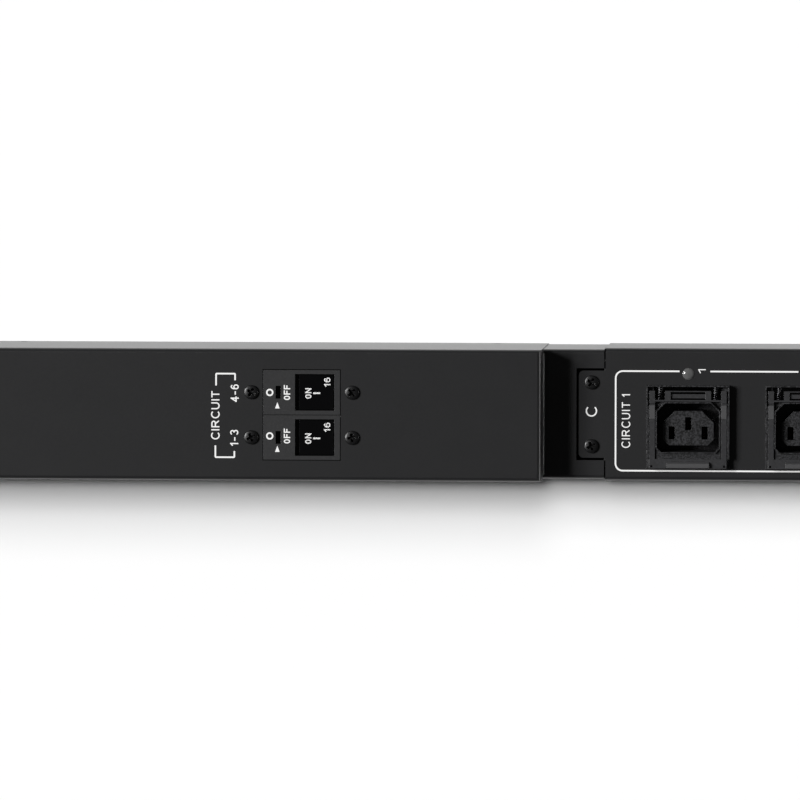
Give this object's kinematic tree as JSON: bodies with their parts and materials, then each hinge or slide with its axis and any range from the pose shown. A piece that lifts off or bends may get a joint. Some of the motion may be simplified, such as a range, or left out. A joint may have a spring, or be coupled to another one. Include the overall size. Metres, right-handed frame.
{
  "type": "rack power distribution unit",
  "caption": "Long black vertical rack power strip with a raised housing of guarded rocker breakers and a row of locking three-pin outlets in grouped circuits.",
  "frame": {"origin": "middle of the flat back face of the chassis tray", "axes": "+X along the strip from the breaker housing to the last outlet, +Y across it, +Z out of the back face towards the outlets"},
  "size_m": [0.9714, 0.0564, 0.0713],
  "materials": {
    "powder_coat": "fine-textured black powder coat on folded steel",
    "cap_plastic": "moulded black plastic",
    "bracket_steel": "black dip-coated sheet steel",
    "screw_black": "black oxide screws",
    "gland_nylon": "moulded black nylon",
    "copper": "bare copper strip",
    "lens": "clear-grey moulded light pipe",
    "board": "green lamp board",
    "breaker_plastic": "moulded dark grey thermoset",
    "rocker_plastic": "moulded satin black rocker",
    "outlet_plastic": "moulded black thermoplastic with spark-eroded grain",
    "lock_plastic": "moulded dark grey thermoplastic",
    "spring_steel": "bright spring wire"
  },
  "bodies": {
    "chassis": {"breaker_body_1": "breaker_plastic", "breaker_body_2": "breaker_plastic", "breaker_cover": "powder_coat", "breaker_screws": "screw_black", "breaker_terminals": "copper", "bridge_bracket": "bracket_steel", "busbar_earth": "copper", "busbar_line_1": "copper", "busbar_line_2": "copper", "busbar_neutral": "copper", "chassis_tray": "powder_coat", "cover_screws": "screw_black", "end_bracket": "bracket_steel", "gland_body": "gland_nylon", "gland_locknut": "gland_nylon", "gland_nut": "gland_nylon", "indicator_board": "board", "indicator_lenses": "lens", "left_end_cap": "cap_plastic", "lock_springs_1": "spring_steel", "lock_springs_10": "spring_steel", "lock_springs_11": "spring_steel", "lock_springs_12": "spring_steel", "lock_springs_2": "spring_steel", "lock_springs_3": "spring_steel", "lock_springs_4": "spring_steel", "lock_springs_5": "spring_steel", "lock_springs_6": "spring_steel", "lock_springs_7": "spring_steel", "lock_springs_8": "spring_steel", "lock_springs_9": "spring_steel", "outlet_body_1": "outlet_plastic", "outlet_body_10": "outlet_plastic", "outlet_body_11": "outlet_plastic", "outlet_body_12": "outlet_plastic", "outlet_body_2": "outlet_plastic", "outlet_body_3": "outlet_plastic", "outlet_body_4": "outlet_plastic", "outlet_body_5": "outlet_plastic", "outlet_body_6": "outlet_plastic", "outlet_body_7": "outlet_plastic", "outlet_body_8": "outlet_plastic", "outlet_body_9": "outlet_plastic", "outlet_cover": "powder_coat", "right_end_cap": "cap_plastic", "side_screws": "screw_black"},
    "rocker_1": {"breaker_rocker_1": "rocker_plastic"},
    "rocker_2": {"breaker_rocker_2": "rocker_plastic"},
    "lock_1": {"lock_frame_1": "lock_plastic"},
    "lock_2": {"lock_frame_2": "lock_plastic"},
    "lock_3": {"lock_frame_3": "lock_plastic"},
    "lock_4": {"lock_frame_4": "lock_plastic"},
    "lock_5": {"lock_frame_5": "lock_plastic"},
    "lock_6": {"lock_frame_6": "lock_plastic"},
    "lock_7": {"lock_frame_7": "lock_plastic"},
    "lock_8": {"lock_frame_8": "lock_plastic"},
    "lock_9": {"lock_frame_9": "lock_plastic"},
    "lock_10": {"lock_frame_10": "lock_plastic"},
    "lock_11": {"lock_frame_11": "lock_plastic"},
    "lock_12": {"lock_frame_12": "lock_plastic"}
  },
  "joints": [
    {"name": "rocker_1_tilt", "type": "hinge", "parent": "chassis", "child": "rocker_1", "pos_m": [-0.32571, -0.0096, 0.0648], "axis": [0, -1, 0], "range_deg": [0, 16]},
    {"name": "rocker_2_tilt", "type": "hinge", "parent": "chassis", "child": "rocker_2", "pos_m": [-0.32571, 0.0096, 0.0648], "axis": [0, -1, 0], "range_deg": [0, 16]},
    {"name": "lock_1_slide", "type": "slide", "parent": "chassis", "child": "lock_1", "axis": [0, 1, 0], "range_m": [0, 0.0015], "stiffness_N_per_m": 600, "springref_m": -0.0015, "deforming": ["lock_springs_1"]},
    {"name": "lock_2_slide", "type": "slide", "parent": "chassis", "child": "lock_2", "axis": [0, 1, 0], "range_m": [0, 0.0015], "stiffness_N_per_m": 600, "springref_m": -0.0015, "deforming": ["lock_springs_2"]},
    {"name": "lock_3_slide", "type": "slide", "parent": "chassis", "child": "lock_3", "axis": [0, 1, 0], "range_m": [0, 0.0015], "stiffness_N_per_m": 600, "springref_m": -0.0015, "deforming": ["lock_springs_3"]},
    {"name": "lock_4_slide", "type": "slide", "parent": "chassis", "child": "lock_4", "axis": [0, 1, 0], "range_m": [0, 0.0015], "stiffness_N_per_m": 600, "springref_m": -0.0015, "deforming": ["lock_springs_4"]},
    {"name": "lock_5_slide", "type": "slide", "parent": "chassis", "child": "lock_5", "axis": [0, 1, 0], "range_m": [0, 0.0015], "stiffness_N_per_m": 600, "springref_m": -0.0015, "deforming": ["lock_springs_5"]},
    {"name": "lock_6_slide", "type": "slide", "parent": "chassis", "child": "lock_6", "axis": [0, 1, 0], "range_m": [0, 0.0015], "stiffness_N_per_m": 600, "springref_m": -0.0015, "deforming": ["lock_springs_6"]},
    {"name": "lock_7_slide", "type": "slide", "parent": "chassis", "child": "lock_7", "axis": [0, 1, 0], "range_m": [0, 0.0015], "stiffness_N_per_m": 600, "springref_m": -0.0015, "deforming": ["lock_springs_7"]},
    {"name": "lock_8_slide", "type": "slide", "parent": "chassis", "child": "lock_8", "axis": [0, 1, 0], "range_m": [0, 0.0015], "stiffness_N_per_m": 600, "springref_m": -0.0015, "deforming": ["lock_springs_8"]},
    {"name": "lock_9_slide", "type": "slide", "parent": "chassis", "child": "lock_9", "axis": [0, 1, 0], "range_m": [0, 0.0015], "stiffness_N_per_m": 600, "springref_m": -0.0015, "deforming": ["lock_springs_9"]},
    {"name": "lock_10_slide", "type": "slide", "parent": "chassis", "child": "lock_10", "axis": [0, 1, 0], "range_m": [0, 0.0015], "stiffness_N_per_m": 600, "springref_m": -0.0015, "deforming": ["lock_springs_10"]},
    {"name": "lock_11_slide", "type": "slide", "parent": "chassis", "child": "lock_11", "axis": [0, 1, 0], "range_m": [0, 0.0015], "stiffness_N_per_m": 600, "springref_m": -0.0015, "deforming": ["lock_springs_11"]},
    {"name": "lock_12_slide", "type": "slide", "parent": "chassis", "child": "lock_12", "axis": [0, 1, 0], "range_m": [0, 0.0015], "stiffness_N_per_m": 600, "springref_m": -0.0015, "deforming": ["lock_springs_12"]}
  ]
}
